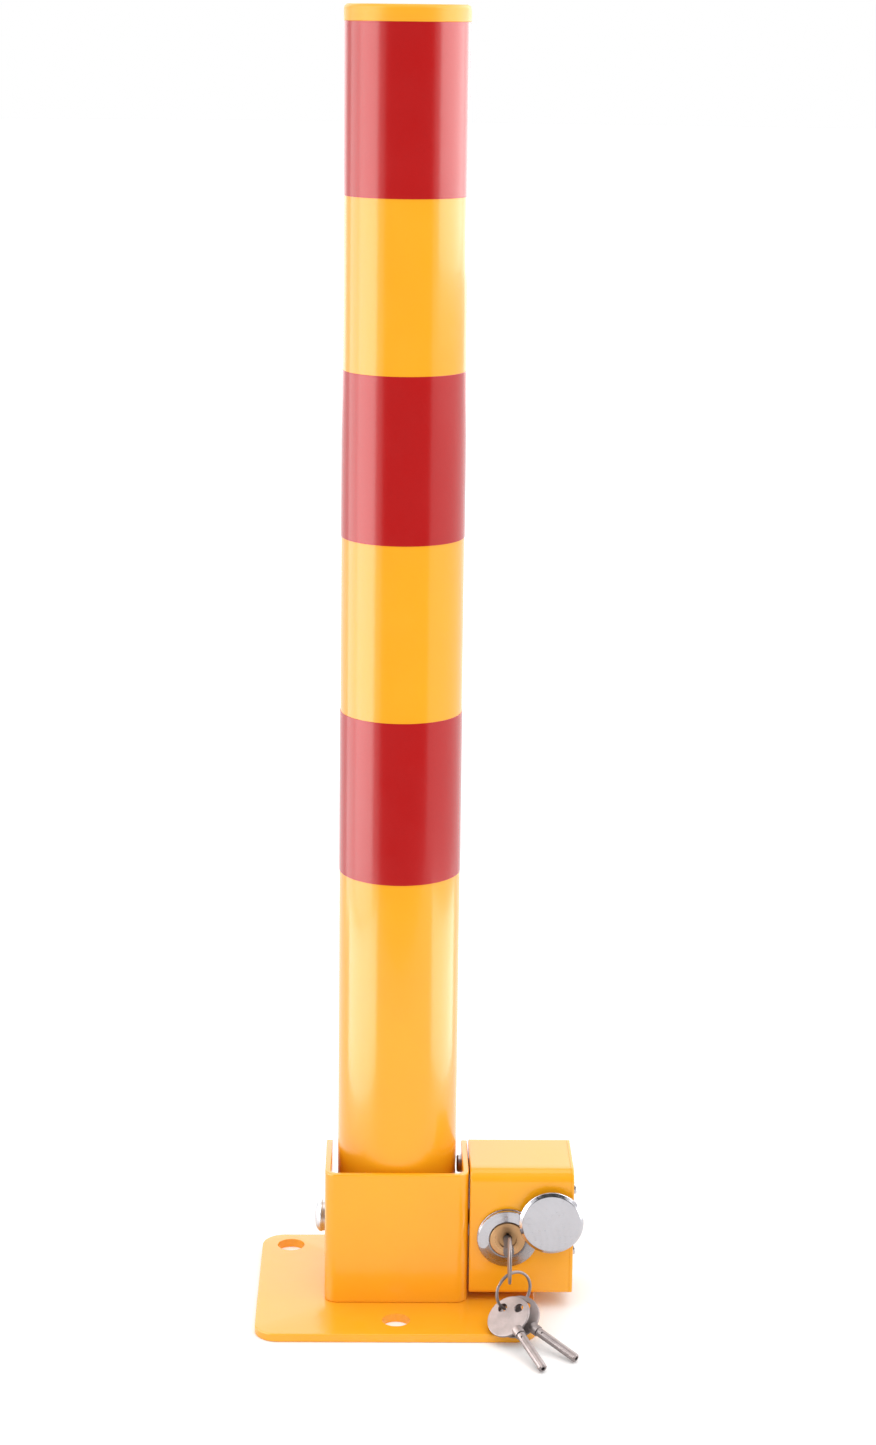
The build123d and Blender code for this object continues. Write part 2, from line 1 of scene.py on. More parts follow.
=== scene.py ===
"""Looks of a fold-down parking post: its painted, plated and moulded pieces around the CAD frame.

Laid out as a Blender add-on and run as a script. Everything is in metres, in the frame's own axes.
"""

import json
import math

import bpy
import numpy as np
from bpy.props import FloatProperty, FloatVectorProperty, IntProperty, PointerProperty
from mathutils import Matrix, Vector


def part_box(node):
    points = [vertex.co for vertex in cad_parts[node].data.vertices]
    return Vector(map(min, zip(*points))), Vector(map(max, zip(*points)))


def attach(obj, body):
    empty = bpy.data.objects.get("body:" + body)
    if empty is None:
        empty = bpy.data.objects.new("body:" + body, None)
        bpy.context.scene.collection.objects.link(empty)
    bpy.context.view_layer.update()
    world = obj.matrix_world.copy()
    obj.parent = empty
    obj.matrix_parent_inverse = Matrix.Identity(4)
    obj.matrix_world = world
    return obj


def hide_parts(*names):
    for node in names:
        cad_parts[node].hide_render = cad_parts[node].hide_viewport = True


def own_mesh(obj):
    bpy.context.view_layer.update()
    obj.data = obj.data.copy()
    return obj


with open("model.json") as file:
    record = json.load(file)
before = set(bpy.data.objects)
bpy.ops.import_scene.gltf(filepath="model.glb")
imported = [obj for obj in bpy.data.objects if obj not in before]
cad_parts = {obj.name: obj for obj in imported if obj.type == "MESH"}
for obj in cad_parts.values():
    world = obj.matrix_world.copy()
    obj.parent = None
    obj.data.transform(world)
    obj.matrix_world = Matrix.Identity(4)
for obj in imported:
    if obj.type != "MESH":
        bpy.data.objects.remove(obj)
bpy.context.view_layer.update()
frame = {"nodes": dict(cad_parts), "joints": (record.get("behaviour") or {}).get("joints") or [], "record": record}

bl_info = {
    "name": "Parking Post",
    "version": (1, 0, 0),
    "blender": (4, 5, 0),
    "location": "3D View > Sidebar > Parking Post",
    "description": "Painted, plated and moulded pieces of a fold-down parking post",
    "category": "Object",
}

MM = 0.001
TURN = 2 * math.pi

# An edge that turns by more degrees than this is shaded sharp.
SHARP = 38.0
CUTTER_STEPS = 64


# ---------------------------------------------------------------- places read from the frame

def span(node):
    """Lowest and highest corner of a CAD node, as arrays."""
    low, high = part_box(node)
    return np.array(low), np.array(high)


TUBE_LOW, TUBE_HIGH = span("post_tube")
TUBE_R = (TUBE_HIGH[0] - TUBE_LOW[0]) / 2
TUBE_Y = (TUBE_HIGH[1] + TUBE_LOW[1]) / 2
TUBE_WALL = 2.0 * MM
JOINTS = {joint["name"]: joint for joint in frame["joints"]}
HINGE = np.array(JOINTS["post_fold"]["pos_m"])
LOCK = np.array(JOINTS["plug_turn"]["pos_m"])
GUIDE_LOW, GUIDE_HIGH = span("latch_guide")
GUIDE_MIDDLE = (0.0, TUBE_Y, (GUIDE_LOW[2] + GUIDE_HIGH[2]) / 2)

# Radii of the holes in the painted sheet for the hinge bolt, the latch guide and the lock barrel.
HINGE_HOLE_R = 4.2 * MM
GUIDE_HOLE_R = 5.63 * MM
BARREL_HOLE_R = 8.4 * MM


# ---------------------------------------------------------------- settings

# What every colour setting has besides its name, description and default.
COLOUR = {"subtype": "COLOR", "size": 3, "min": 0.0, "max": 1.0}


class ParkingPostShape(bpy.types.PropertyGroup):
    """How finely and how softly the pieces are shaped."""

    turns: IntProperty(name="Steps round", description="Steps round a turned piece",
                       default=192, min=24, max=512)
    arc_steps: IntProperty(name="Steps in a bend", default=6, min=2, max=24,
                           description="Steps in each rounded edge or bend")
    sheet_edge: FloatProperty(name="Sheet edge", default=0.7 * MM, min=0.0, unit="LENGTH",
                              description="Rounding of cut sheet edges under the paint")
    box_edge: FloatProperty(name="Box edge", description="Rounding of the lock box's side edge",
                            default=0.9 * MM, min=0.0, unit="LENGTH")
    band_overlap: FloatProperty(name="Band overlap", default=9.0 * MM, min=0.0, unit="LENGTH",
                                description="Width of the lap at the back of each band")


class ParkingPostColours(bpy.types.PropertyGroup):
    """Colours of the finishes, as linear colour."""

    paint: FloatVectorProperty(name="Paint", description="Powder coat",
                               default=(0.92, 0.395, 0.009), **COLOUR)
    paint_deep: FloatVectorProperty(name="Deep paint", default=(0.89, 0.345, 0.005),
                                    description="Powder coat where it is thicker", **COLOUR)
    band: FloatVectorProperty(name="Band", description="Reflective sheet",
                              default=(0.475, 0.003, 0.003), **COLOUR)
    chrome: FloatVectorProperty(name="Chrome", description="Chrome plate",
                                default=(0.51, 0.505, 0.535), **COLOUR)
    brass: FloatVectorProperty(name="Brass", description="Turned brass",
                               default=(0.66, 0.40, 0.20), **COLOUR)
    zinc: FloatVectorProperty(name="Zinc", description="Zinc plate",
                              default=(0.62, 0.62, 0.64), **COLOUR)
    nickel: FloatVectorProperty(name="Nickel", description="Nickel plate of keys and ring",
                                default=(0.31, 0.27, 0.265), **COLOUR)


class ParkingPostStage(bpy.types.PropertyGroup):
    """Floor, light and camera."""

    floor_r: FloatProperty(name="Floor radius", description="Radius of the floor", default=14.0,
                           min=1.0, unit="LENGTH")
    sky: FloatProperty(name="Ambient light", description="Strength of the light from all round",
                       default=1.0, min=0.0)
    lens: FloatProperty(name="Lens", description="Focal length of the camera", default=72.18,
                        min=10.0, unit="CAMERA")


class ParkingPostSettings(bpy.types.PropertyGroup):
    """All settings of the parking post."""

    shape: PointerProperty(type=ParkingPostShape)
    colours: PointerProperty(type=ParkingPostColours)
    stage: PointerProperty(type=ParkingPostStage)


# ---------------------------------------------------------------- surfaces

def whole_turn(steps):
    """Angles of the steps of a whole turn, from 0 up."""
    return np.arange(steps) / steps * TURN


def quarter_turn(steps):
    """Angles of a quarter turn, from 0 up, for rounding an edge."""
    return np.linspace(0, math.pi / 2, steps + 1)


def grid_faces(rows, columns, closed_rows):
    """Quads of a grid whose columns wrap round, and whose rows wrap too where it is closed."""
    row, column = np.meshgrid(np.arange(rows if closed_rows else rows - 1), np.arange(columns),
                              indexing="ij")
    below, beside = (row + 1) % rows, (column + 1) % columns
    corners = [row * columns + column, row * columns + beside,
               below * columns + beside, below * columns + column]
    return np.stack(corners, axis=-1).reshape(-1, 4)


def volume_sign(points, quads, fans):
    """Sign of the enclosed volume: the sum over all triangles of a dot (b cross c)."""
    tris = np.concatenate([quads[:, [0, 1, 2]], quads[:, [0, 2, 3]], *fans])
    a, b, c = (points[tris[:, k]] for k in range(3))
    return np.sign(np.einsum("ij,ij->i", a, np.cross(b, c)).sum())


def surface(name, points, closed_rows=False, sharp=SHARP):
    """A closed piece from a grid of points, rows by columns by three.

    Columns always wrap round. Unless the rows wrap too, the first and the last row are each
    closed by a fan to their mean point. All faces are turned outwards.
    """
    rows, columns = points.shape[:2]
    vertices = points.reshape(-1, 3)
    quads = grid_faces(rows, columns, closed_rows)
    fans = []
    if not closed_rows:
        around = np.arange(columns)
        beside = (around + 1) % columns
        last = (rows - 1) * columns
        centres = np.stack([points[0].mean(axis=0), points[-1].mean(axis=0)])
        first_hub = np.full(columns, len(vertices))
        vertices = np.concatenate([vertices, centres])
        fans = [np.stack([beside, around, first_hub], axis=-1),
                np.stack([last + around, last + beside, first_hub + 1], axis=-1)]
    if volume_sign(vertices, quads, fans) < 0:
        quads = quads[:, ::-1]
        fans = [fan[:, ::-1] for fan in fans]
    mesh = bpy.data.meshes.new(name)
    loops = np.concatenate([quads.ravel()] + [fan.ravel() for fan in fans])
    sizes = np.concatenate([np.full(len(quads), 4)] + [np.full(len(fan), 3) for fan in fans])
    mesh.vertices.add(len(vertices))
    mesh.vertices.foreach_set("co", vertices.astype(np.float32).ravel())
    mesh.loops.add(len(loops))
    mesh.loops.foreach_set("vertex_index", loops.astype(np.int32))
    mesh.polygons.add(len(sizes))
    starts = np.concatenate([[0], np.cumsum(sizes)[:-1]])
    mesh.polygons.foreach_set("loop_start", starts.astype(np.int32))
    mesh.update(calc_edges=True)
    mesh.validate()
    smooth(mesh, sharp)
    piece = bpy.data.objects.new(name, mesh)
    bpy.context.scene.collection.objects.link(piece)
    return piece


def smooth(mesh, sharp):
    """Smooth shading, broken at edges that turn by more than the given angle."""
    mesh.polygons.foreach_set("use_smooth", np.ones(len(mesh.polygons), bool))
    mesh.set_sharp_from_angle(angle=math.radians(sharp))


def cut(piece, *cutters):
    """Takes the cutters' solids out of a piece and removes them; the result is a plain mesh."""
    for cutter in cutters:
        tool = piece.modifiers.new("cut", "BOOLEAN")
        tool.operation = "DIFFERENCE"
        tool.solver = "EXACT"
        tool.object = cutter
    bpy.context.view_layer.update()
    shaped = piece.evaluated_get(bpy.context.evaluated_depsgraph_get())
    mesh = bpy.data.meshes.new_from_object(shaped)
    piece.modifiers.clear()
    piece.data = mesh
    for cutter in cutters:
        bpy.data.objects.remove(cutter)
    smooth(mesh, SHARP)


def rounded(corners, radii, steps, closed=False):
    """A polyline with each corner replaced by an arc that touches both of its sides.

    The arc's centre lies on the corner's bisector, the radius over the sine of half the
    corner's angle away. A support point stands close to each arc's ends, so that flat
    stretches shade flat.
    """
    corners = np.asarray(corners, float)
    count = len(corners)
    path = []
    for k in range(count):
        corner, radius = corners[k], radii[k]
        if radius <= 0 or (not closed and k in (0, count - 1)):
            path.append(corner[None])
            continue
        back = corners[(k - 1) % count] - corner
        ahead = corners[(k + 1) % count] - corner
        back_length, ahead_length = np.linalg.norm(back), np.linalg.norm(ahead)
        back, ahead = back / back_length, ahead / ahead_length
        half = math.acos(float(np.clip(back @ ahead, -1, 1))) / 2
        reach = radius / math.tan(half)
        centre = corner + (back + ahead) / np.linalg.norm(back + ahead) * radius / math.sin(half)
        start, end = corner + back * reach - centre, corner + ahead * reach - centre
        sweep = math.pi - 2 * half
        t = np.linspace(0, 1, steps + 1)[:, None]
        arc = centre + (np.sin((1 - t) * sweep) * start + np.sin(t * sweep) * end) / math.sin(sweep)
        support = min(radius * 0.5, 0.1 * back_length, 0.1 * ahead_length)
        path.append((corner + back * (reach + support))[None])
        path.append(arc)
        path.append((corner + ahead * (reach + support))[None])
    return np.concatenate(path)


def turned(name, profile, centre, axis, turns, closed=False):
    """A turned piece: a profile of (radius, distance along the axis) carried round the axis.

    A point is the centre, plus the distance along the axis, plus the radius times the cosine
    and sine of the angle on the two other axes.
    """
    angle = whole_turn(turns)
    along = {"X": 0, "Y": 1, "Z": 2}[axis]
    first, second = (along + 1) % 3, (along + 2) % 3
    points = np.zeros((len(profile), turns, 3))
    points[..., along] = profile[:, 1:2]
    points[..., first] = profile[:, 0:1] * np.cos(angle)
    points[..., second] = profile[:, 0:1] * np.sin(angle)
    return surface(name, points + np.asarray(centre, float), closed_rows=closed)


def drill(centre, axis, radius, start, end):
    """A plain round cutter along an axis between two places on it."""
    profile = np.array([[radius, start], [radius, end]])
    centre = np.array(centre, float)
    centre["XYZ".index(axis)] = 0.0
    return turned("cutter", profile, centre, axis, CUTTER_STEPS)


# ---------------------------------------------------------------- shader maths

class Val:
    """A number that varies over a surface; sums and products of it add Math nodes."""

    def __init__(self, finish, socket):
        self.finish = finish
        self.socket = socket

    def math(self, operation, first, second):
        """The value that a Math node makes of two others."""
        node = self.finish.node("ShaderNodeMath", {"operation": operation},
                                {0: first, 1: second})
        return Val(self.finish, node.outputs[0])

    def __add__(self, other):
        return self.math("ADD", self, other)

    def __radd__(self, other):
        return self.math("ADD", other, self)

    def __sub__(self, other):
        return self.math("SUBTRACT", self, other)

    def __rsub__(self, other):
        return self.math("SUBTRACT", other, self)

    def __mul__(self, other):
        return self.math("MULTIPLY", self, other)

    def __rmul__(self, other):
        return self.math("MULTIPLY", other, self)

    def __pow__(self, other):
        return self.math("POWER", self, other)


class Finish:
    """A material being made: its node tree, its shader and short ways to add nodes."""

    def __init__(self, name, **uniform):
        self.material = bpy.data.materials.new(name)
        self.material.use_nodes = True
        self.tree = self.material.node_tree
        self.tree.nodes.clear()
        self.shader = self.node("ShaderNodeBsdfPrincipled")
        output = self.node("ShaderNodeOutputMaterial")
        self.tree.links.new(self.shader.outputs[0], output.inputs["Surface"])
        for socket, value in uniform.items():
            self.shader.inputs[socket.replace("_", " ")].default_value = value

    def node(self, kind, settings=None, inputs=None):
        """Any node: its type, its settings, then the values or links of its sockets."""
        node = self.tree.nodes.new(kind)
        for key, value in (settings or {}).items():
            if key == "stops":
                self.set_stops(node.color_ramp, value)
            else:
                setattr(node, key, value)
        for key, value in (inputs or {}).items():
            self.plug(value, node.inputs[key])
        return node

    @staticmethod
    def set_stops(ramp, stops):
        """Sets a ramp's stops, each a place and a grey value."""
        while len(ramp.elements) < len(stops):
            ramp.elements.new(1.0)
        for element, (place, grey) in zip(ramp.elements, stops):
            element.position = place
            element.color = (grey, grey, grey, 1.0)

    def plug(self, value, socket):
        """Links a socket to a value that varies, or sets it to a plain one."""
        if isinstance(value, Val):
            self.tree.links.new(value.socket, socket)
        elif isinstance(value, bpy.types.NodeSocket):
            self.tree.links.new(value, socket)
        elif isinstance(value, (tuple, list)) and len(value) == 3 and socket.type == "RGBA":
            socket.default_value = (*value, 1.0)
        else:
            socket.default_value = value

    def place(self, centre=(0, 0, 0), turn=(0, 0, 0), stretch=(1, 1, 1)):
        """The object's own coordinates, moved so that a point lies at the origin, then turned."""
        coordinates = self.node("ShaderNodeTexCoord")
        moved = self.node("ShaderNodeVectorMath", {"operation": "SUBTRACT"},
                          {0: coordinates.outputs["Object"], 1: centre})
        return self.node("ShaderNodeMapping", {"vector_type": "POINT"},
                         {"Vector": moved.outputs[0], "Rotation": turn,
                          "Scale": stretch}).outputs[0]

    def noise(self, vector, size, detail=2.0, rough=0.5):
        """Noise whose patches are about the given size in metres, from 0 to 1."""
        node = self.node("ShaderNodeTexNoise", {"noise_dimensions": "3D"},
                         {"Vector": vector, "Scale": 1.0 / size, "Detail": detail,
                          "Roughness": rough})
        return Val(self, node.outputs["Fac"])

    def ramp(self, value, *stops):
        """A number remade by a ramp of (place, value) stops."""
        node = self.node("ShaderNodeValToRGB", {"stops": stops}, {"Fac": value})
        return Val(self, node.outputs["Color"])

    def axis(self, vector, name):
        """One coordinate of a vector."""
        return Val(self, self.node("ShaderNodeSeparateXYZ", None, {0: vector}).outputs[name])

    def rings(self, vector, size, about):
        """Fine rings about an axis through the origin, from 0 to 1.

        A wave texture takes 20 radians to a metre at scale 1, and the size is one radian's.
        """
        node = self.node("ShaderNodeTexWave",
                         {"wave_type": "RINGS", "rings_direction": about, "wave_profile": "SIN"},
                         {"Vector": vector, "Scale": 1.0 / size / 20, "Distortion": 0.4,
                          "Detail": 1.0})
        return Val(self, node.outputs["Fac"])

    def mix(self, factor, first, second):
        """A colour between two others, which go in at a Mix node's sockets 6 and 7."""
        node = self.node("ShaderNodeMix", {"data_type": "RGBA"}, {0: factor, 6: first, 7: second})
        return node.outputs[2]

    def bump(self, height, distance, strength):
        """Relief of the given height in metres."""
        node = self.node("ShaderNodeBump", None,
                         {"Strength": strength, "Distance": distance, "Height": height})
        self.plug(node.outputs[0], self.shader.inputs["Normal"])

    def colour(self, value):
        self.plug(value, self.shader.inputs["Base Color"])

    def roughness(self, value):
        self.plug(value, self.shader.inputs["Roughness"])


# ---------------------------------------------------------------- finishes

def darker(colour, share):
    """A colour with each channel times the share."""
    return tuple(channel * share for channel in colour)


def powder_coat(colours):
    """Glossy powder coat: slow drifts of depth, a fine orange peel and a little dust low down."""
    dust_height = 30 * MM
    dust_colour, speck_colour = (0.62, 0.42, 0.20), (0.75, 0.20, 0.004)
    made = Finish("yellow_paint_finish", Specular_IOR_Level=0.48, Coat_IOR=1.4,
                  Coat_Roughness=0.06)
    at = made.place()
    drift = made.ramp(made.noise(at, 45 * MM, 3.0), (0.3, 0.0), (0.75, 1.0))
    speck = made.ramp(made.noise(at, 0.9 * MM, 1.0), (0.62, 0.0), (0.72, 1.0))
    low = made.ramp(made.axis(at, "Z") * (1 / dust_height), (0.0, 1.0), (1.0, 0.0))
    paint = made.mix(drift * 0.55, tuple(colours.paint), tuple(colours.paint_deep))
    dusty = made.mix(low * made.noise(at, 9 * MM, 4.0) * 0.10, paint, dust_colour)
    made.colour(made.mix(speck * 0.05, dusty, speck_colour))
    made.roughness(0.17 + 0.07 * made.noise(at, 12 * MM, 3.0) + 0.06 * low)
    made.plug(0.15 + 0.15 * drift, made.shader.inputs["Coat Weight"])
    peel = made.noise(at, 2.2 * MM, 2.0) + 0.35 * made.noise(at, 0.7 * MM, 1.0)
    made.bump(peel, 0.022 * MM, 0.55)
    return made.material


def moulded_cap(colours):
    """Moulded plastic: even colour with a faint flow drift and a fine eroded texture."""
    made = Finish("yellow_cap_finish", Specular_IOR_Level=0.36)
    at = made.place()
    flow = made.noise(made.place(stretch=(1, 1, 4)), 22 * MM, 3.0)
    deep = darker(colours.paint_deep, 0.9)
    made.colour(made.mix(flow * 0.5, tuple(colours.paint), deep))
    made.roughness(0.30 + 0.12 * flow)
    made.bump(made.noise(at, 0.5 * MM, 2.0), 0.02 * MM, 0.4)
    return made.material


def reflective_sheet(colours):
    """Red reflective sheet: tiny cells under a clear top film that lies a little uneven."""
    cell_size = 1.7 * MM
    made = Finish("red_band_finish", Specular_IOR_Level=0.46, Coat_IOR=1.4, Coat_Roughness=0.1)
    at = made.place()
    cells = made.node("ShaderNodeTexVoronoi", {"feature": "DISTANCE_TO_EDGE"},
                      {"Vector": at, "Scale": 1 / cell_size})
    cell = made.ramp(Val(made, cells.outputs["Distance"]), (0.0, 0.0), (0.12, 1.0))
    drift = made.noise(at, 40 * MM, 3.0)
    film = made.mix(drift * 0.6, tuple(colours.band), darker(colours.band, 0.8))
    made.colour(made.mix(0.12 - 0.12 * cell, film, (0.30, 0.004, 0.004)))
    made.roughness(0.19 + 0.07 * made.noise(at, 15 * MM, 2.0))
    made.plug(0.10 + 0.15 * drift, made.shader.inputs["Coat Weight"])
    made.bump(made.noise(at, 18 * MM, 2.0) + 0.04 * cell, 0.05 * MM, 0.5)
    return made.material


def bright_metal(name, colour, centre, about, rough=0.10, stain=0.12, shade_radius=0.0):
    """Turned and plated metal: fine rings round an axis, faint stains and handling scratches.

    Given a shade radius, it darkens towards the axis within it: painted shade, as falls in a hollow round the
    axis.
    """
    made = Finish(name, Metallic=1.0)
    at = made.place(centre=centre)
    rings = made.rings(at, 0.45 * MM, about)
    cloud = made.ramp(made.noise(at, 11 * MM, 4.0, 0.6), (0.35, 0.0), (0.8, 1.0))
    long_way = made.place(centre=centre, turn=(0.3, 0.7, 0.5), stretch=(1, 14, 14))
    scratch = made.ramp(made.noise(long_way, 6 * MM, 3.0), (0.60, 0.0), (0.66, 1.0))
    metal = made.mix(cloud * (2.2 * stain), tuple(colour), darker(colour, 0.72))
    # Painted shade: darker towards the axis, where a hollow such as a keyway or bore lies in shadow.
    if shade_radius:
        across, up = made.axis(at, "X"), made.axis(at, "Z")
        radius = (across ** 2 + up ** 2) ** 0.5 * (1 / shade_radius)
        painted_hollow_shade = made.ramp(radius, (0.35, 1.0), (1.0, 0.0))
        metal = made.mix(painted_hollow_shade * 0.55, metal, darker(colour, 0.22))
    made.colour(metal)
    made.roughness(rough + 0.06 * rings + 0.10 * cloud + 0.10 * scratch)
    made.bump(rings - 0.5 * scratch, 0.004 * MM, 0.5)
    return made.material


def brushed_metal(name, colour, rough, grain=(1, 1, 1)):
    """Plated steel with a faint grain, blotches of thicker plate and a little darkening."""
    made = Finish(name, Metallic=1.0)
    at = made.place()
    streak = made.noise(made.place(stretch=grain), 1.4 * MM, 3.0)
    cloud = made.ramp(made.noise(at, 6 * MM, 4.0, 0.6), (0.3, 0.0), (0.75, 1.0))
    made.colour(made.mix(cloud * 0.45 + streak * 0.15, tuple(colour), darker(colour, 0.62)))
    made.roughness(rough + 0.12 * cloud + 0.08 * streak)
    made.bump(streak + 0.3 * cloud, 0.01 * MM, 0.5)
    return made.material


def plain_nylon():
    """Natural nylon: milky, with a soft waxy surface and turning marks."""
    made = Finish("nylon_finish", Specular_IOR_Level=0.4)
    at = made.place(centre=tuple(HINGE))
    cloud = made.noise(at, 5 * MM, 3.0)
    made.colour(made.mix(cloud * 0.5, (0.80, 0.78, 0.70), (0.62, 0.58, 0.48)))
    made.roughness(0.42 + 0.15 * cloud)
    made.bump(made.rings(at, 0.5 * MM, "X"), 0.01 * MM, 0.4)
    return made.material


def finish_of(slot, context):
    """The material of one of the record's slots, made when it is first asked for."""
    name = f"{slot}_finish"
    if name in bpy.data.materials:
        return bpy.data.materials[name]
    colours = context.scene.parking_post.colours
    lock, hinge = tuple(LOCK), tuple(HINGE)
    makers = {
        "yellow_paint": lambda: powder_coat(colours),
        "yellow_cap": lambda: moulded_cap(colours),
        "red_band": lambda: reflective_sheet(colours),
        "chrome": lambda: bright_metal(name, colours.chrome, lock, "Y"),
        # The brass plug darkens towards its keyway: painted shade.
        "brass": lambda: bright_metal(name, colours.brass, lock, "Y", 0.26, 0.22, 6.4 * MM),
        "zinc": lambda: bright_metal(name, colours.zinc, hinge, "X", 0.26, 0.20),
        "key_nickel": lambda: brushed_metal(name, colours.nickel, 0.40, (1, 1, 3)),
        "spring_steel": lambda: brushed_metal(name, (0.30, 0.29, 0.29), 0.28),
        "nylon": plain_nylon,
    }
    return makers[slot]()


def seat(piece, body, slot, context, *nodes, finish=None):
    """Paints a new piece, lets it ride on its body and stand for its CAD nodes.

    It gets its slot's finish unless another finish is given.
    """
    piece.data.materials.clear()
    piece.data.materials.append(finish or finish_of(slot, context))
    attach(piece, body)
    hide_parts(*nodes)


# ---------------------------------------------------------------- pieces

def about_tube(radius, angle, height):
    """Points at a radius and an angle round the tube's axis, at a height."""
    places = np.broadcast_arrays(radius * np.cos(angle), TUBE_Y + radius * np.sin(angle), height)
    return np.stack(places, axis=-1)


def tube_skin(name, steps):
    """The post tube as one closed wall.

    The outer and inner walls are circles of their radius carried along Z, and the rim at the
    foot runs through the radii between. The foot ends at a height that is the larger of the
    tube's lowest point and the hinge's height minus the root of the foot's radius squared minus
    the outer wall's depth squared, so it is relieved at the front and back for folding.
    """
    angle = whole_turn(steps)
    foot_r = TUBE_R + 0.4 * MM
    inner_r = TUBE_R - TUBE_WALL
    edge, rim_rows = 0.25 * MM, 7
    share = np.array([0.0006, 0.002, 0.02, 0.05, 0.08, 0.2, 0.4, 0.6, 0.8, 0.998, 1.0])
    reach = np.sqrt(foot_r ** 2 - (TUBE_R * np.sin(angle)) ** 2)
    foot = np.maximum(TUBE_LOW[2], HINGE[2] - reach)

    def row(radius, share_up):
        return about_tube(radius, angle, foot + share_up * (TUBE_HIGH[2] - foot))

    rim_radii = np.linspace(TUBE_R - edge, inner_r + edge, rim_rows)
    rows = [row(TUBE_R, each) for each in share[::-1]]
    rows += [row(radius, 0.0) for radius in rim_radii]
    rows += [row(inner_r, each) for each in share]
    return surface(name, np.stack(rows), closed_rows=True)


class PARKPOST_OT_tube(bpy.types.Operator):
    """Make the post tube with its relieved foot and its holes for the sleeve and the latch."""

    bl_idname = "parkpost.tube"
    bl_label = "Post tube"

    def execute(self, context):
        shape = context.scene.parking_post.shape
        tube = tube_skin("tube_skin", shape.turns)
        sleeve_low, sleeve_high = span("hinge_sleeve")
        sleeve_r = (sleeve_high[2] - sleeve_low[2]) / 2
        bolt_low, bolt_high = span("latch_bolt")
        sleeve_gap, latch_gap = 0.02 * MM, 0.35 * MM
        latch_r = (bolt_high[2] - bolt_low[2]) / 2 + latch_gap
        latch_z = (bolt_high[2] + bolt_low[2]) / 2
        reach = TUBE_R * 1.2
        sleeve_hole = drill(HINGE, "X", sleeve_r + sleeve_gap, -reach, reach)
        latch_hole = drill((0, TUBE_Y, latch_z), "X", latch_r, 0.0, reach)
        cut(tube, sleeve_hole, latch_hole)
        seat(tube, "post", "yellow_paint", context, "post_tube")
        return {"FINISHED"}


class PARKPOST_OT_cap(bpy.types.Operator):
    """Make the moulded end cap: a soft-edged lid with a hollow skirt inside the tube."""

    bl_idname = "parkpost.cap"
    bl_label = "End cap"

    def execute(self, context):
        shape = context.scene.parking_post.shape
        low, high = span("post_cap")
        lid_r = (high[0] - low[0]) / 2
        skirt_gap, skirt_t, axis_r, dip = 0.1 * MM, 2.0 * MM, 0.5 * MM, 0.05 * MM
        skirt_r = TUBE_R - TUBE_WALL - skirt_gap
        inner_r = skirt_r - skirt_t
        seat_z = TUBE_HIGH[2]
        roof_z = (seat_z + high[2]) / 2
        corners = [(axis_r, high[2] - dip), (lid_r * 0.55, high[2]), (lid_r, high[2]),
                   (lid_r, seat_z), (skirt_r, seat_z), (skirt_r, low[2]), (inner_r, low[2]),
                   (inner_r, roof_z), (axis_r, roof_z)]
        radii = [0, 6 * MM, 2.2 * MM, 0.25 * MM, 0, 0.5 * MM, 0.3 * MM, 1.2 * MM, 0]
        profile = rounded(corners, radii, shape.arc_steps)
        cap = turned("end_cap", profile, (0, TUBE_Y, 0), "Z", shape.turns)
        seat(cap, "post", "yellow_cap", context, "post_cap")
        return {"FINISHED"}


def band_skin(name, node, steps, lap):
    """A band of sheet round the tube.

    The outer face is a circle carried along Z, lifted by one sheet's thickness over the lap at
    the back: a smooth step at the lap's free end, and a slow ramp where the sheet starts.
    """
    low, high = span(node)
    film_gap, step_width, edge_steps = 0.01 * MM, 0.08 * MM, 4
    inner = TUBE_R + film_gap
    sheet_t = (high[0] - low[0]) / 2 - inner
    soft = sheet_t * 0.45
    angle = whole_turn(steps * 2)
    behind = (angle - TURN / 4) * TUBE_R
    free_end = 1 / (1 + np.exp(-(behind + lap / 2) / step_width))
    slow_ramp = np.clip((lap / 2 - behind) / lap, 0, 1)
    lift = np.where(np.abs(behind) < lap, free_end * slow_ramp * sheet_t, 0.0)
    corners = [(0, low[2]), (sheet_t, low[2]), (sheet_t, high[2]), (0, high[2])]
    profile = rounded(corners, [0, soft, soft, 0], edge_steps)
    weight = profile[:, 0:1] / sheet_t
    radius = inner + profile[:, 0:1] + weight * lift
    points = about_tube(radius, angle, profile[:, 1:2])
    return surface(name, points, closed_rows=True, sharp=60)


class PARKPOST_OT_bands(bpy.types.Operator):
    """Make the three reflective bands, each lapped over itself at the back."""

    bl_idname = "parkpost.bands"
    bl_label = "Reflective bands"

    def execute(self, context):
        shape = context.scene.parking_post.shape
        for place in ("upper", "middle", "lower"):
            band = band_skin(f"{place}_sheet", f"{place}_band", shape.turns, shape.band_overlap)
            seat(band, "post", "red_band", context, f"{place}_band")
        return {"FINISHED"}


def rounded_section(half_a, half_b, radii, steps):
    """A rectangle about the origin as a closed loop, its corners rounded by four radii."""
    corners = [(-half_a, -half_b), (half_a, -half_b), (half_a, half_b), (-half_a, half_b)]
    return rounded(corners, radii, steps, closed=True)


